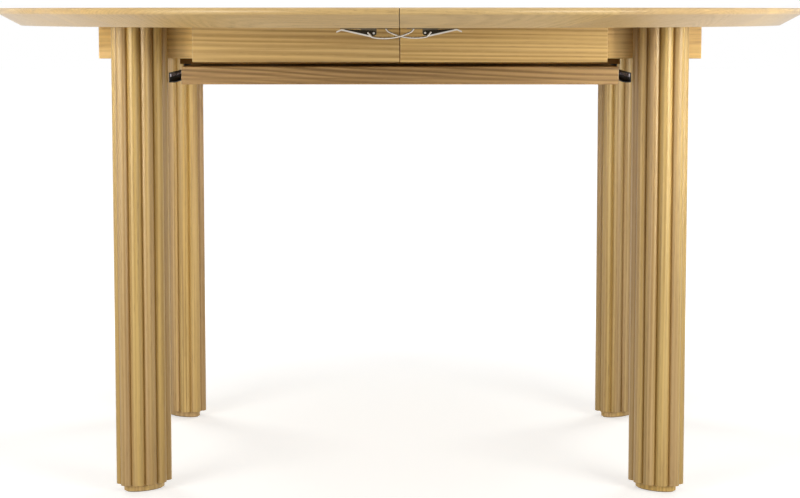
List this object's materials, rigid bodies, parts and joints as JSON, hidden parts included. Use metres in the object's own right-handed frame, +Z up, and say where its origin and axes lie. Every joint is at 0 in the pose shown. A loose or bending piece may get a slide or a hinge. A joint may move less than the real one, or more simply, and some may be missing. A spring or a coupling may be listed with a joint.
{
  "type": "extending dining table",
  "caption": "Round oak dining table with a split top on fluted oval legs; the halves slide apart on geared channels and a stored leaf pulls out below the apron.",
  "frame": {"origin": "on the floor, under the middle of the top", "axes": "+Z up, +X along the way that the halves slide apart, -Y to the front with the latches"},
  "size_m": [1.2998, 1.3, 0.74],
  "materials": {
    "oak_top": "matt lacquered light oak",
    "oak_apron": "matt lacquered light oak",
    "oak_rail": "matt lacquered light oak",
    "oak_leg": "matt lacquered light oak",
    "oak_leaf": "matt lacquered light oak",
    "beech": "bare beech",
    "black_steel": "black powder coat",
    "zinc_steel": "bright zinc",
    "dark_steel": "browned sheet steel",
    "bright_wire": "bright plated steel",
    "nylon": "black nylon",
    "felt": "pressed felt"
  },
  "bodies": {
    "slide_frame": {"channel_front": "black_steel", "channel_back": "black_steel", "cross_beam_left": "black_steel", "cross_beam_right": "black_steel", "gear_beam": "black_steel", "gear_pin": "zinc_steel", "hanger_left": "black_steel", "hanger_right": "black_steel", "runner_left": "black_steel", "runner_right": "black_steel"},
    "left_half": {"top_left": "oak_top", "apron_front_left": "oak_apron", "rail_front_left": "oak_rail", "leg_front_left": "oak_leg", "foot_front_left": "oak_leg", "slide_bar_front_left": "zinc_steel", "apron_back_left": "oak_apron", "rail_back_left": "oak_rail", "leg_back_left": "oak_leg", "foot_back_left": "oak_leg", "slide_bar_back_left": "zinc_steel", "end_rail_left": "oak_rail", "glides_left": "felt", "leg_bolts_left": "zinc_steel", "slide_screws_left": "zinc_steel", "rack_left": "nylon", "latch_base_left": "dark_steel", "latch_pin_left": "bright_wire", "keeper_left": "dark_steel", "latch_screws_left": "zinc_steel", "seam_dowels": "beech"},
    "right_half": {"top_right": "oak_top", "apron_front_right": "oak_apron", "rail_front_right": "oak_rail", "leg_front_right": "oak_leg", "foot_front_right": "oak_leg", "slide_bar_front_right": "zinc_steel", "apron_back_right": "oak_apron", "rail_back_right": "oak_rail", "leg_back_right": "oak_leg", "foot_back_right": "oak_leg", "slide_bar_back_right": "zinc_steel", "end_rail_right": "oak_rail", "glides_right": "felt", "leg_bolts_right": "zinc_steel", "slide_screws_right": "zinc_steel", "rack_right": "nylon", "latch_base_right": "dark_steel", "latch_pin_right": "bright_wire", "keeper_right": "dark_steel", "latch_screws_right": "zinc_steel"},
    "equaliser_pinion": {"pinion": "nylon"},
    "stored_leaf": {"leaf": "oak_leaf", "leaf_slide_left": "zinc_steel", "leaf_slide_right": "zinc_steel"},
    "left_latch_lever": {"latch_lever_left": "bright_wire"},
    "left_latch_bail": {"latch_bail_left": "bright_wire"},
    "right_latch_lever": {"latch_lever_right": "bright_wire"},
    "right_latch_bail": {"latch_bail_right": "bright_wire"}
  },
  "joints": [
    {"name": "right_half_slide", "type": "slide", "parent": "slide_frame", "child": "right_half", "axis": [1, 0, 0], "range_m": [0, 0.25]},
    {"name": "left_half_slide", "type": "slide", "parent": "slide_frame", "child": "left_half", "axis": [-1, 0, 0], "range_m": [0, 0.25]},
    {"name": "pinion_turn", "type": "hinge", "parent": "slide_frame", "child": "equaliser_pinion", "pos_m": [0, 0, 0.698], "axis": [0, 0, 1], "range_deg": [-720, 0]},
    {"name": "leaf_pull", "type": "slide", "parent": "slide_frame", "child": "stored_leaf", "axis": [0, -1, 0], "range_m": [0, 0.35]},
    {"name": "left_latch_open", "type": "hinge", "parent": "left_half", "child": "left_latch_lever", "pos_m": [-0.0356, -0.5, 0.705], "axis": [0, -1, 0], "range_deg": [0, 90]},
    {"name": "left_bail_swing", "type": "hinge", "parent": "left_latch_lever", "child": "left_latch_bail", "pos_m": [-0.0434, -0.5, 0.7058], "axis": [0, -1, 0], "range_deg": [-113, 0]},
    {"name": "right_latch_open", "type": "hinge", "parent": "right_half", "child": "right_latch_lever", "pos_m": [0.0356, -0.46, 0.705], "axis": [0, 1, 0], "range_deg": [0, 90]},
    {"name": "right_bail_swing", "type": "hinge", "parent": "right_latch_lever", "child": "right_latch_bail", "pos_m": [0.0434, -0.46, 0.7058], "axis": [0, 1, 0], "range_deg": [-113, 0]}
  ],
  "couplings": [
    {"joint": "left_half_slide", "follows": "right_half_slide", "ratio": 1},
    {"joint": "pinion_turn", "follows": "right_half_slide", "rad_per_m": -50},
    {"joint": "left_bail_swing", "follows": "left_latch_open", "ratio": -1.25},
    {"joint": "right_bail_swing", "follows": "right_latch_open", "ratio": -1.25}
  ]
}
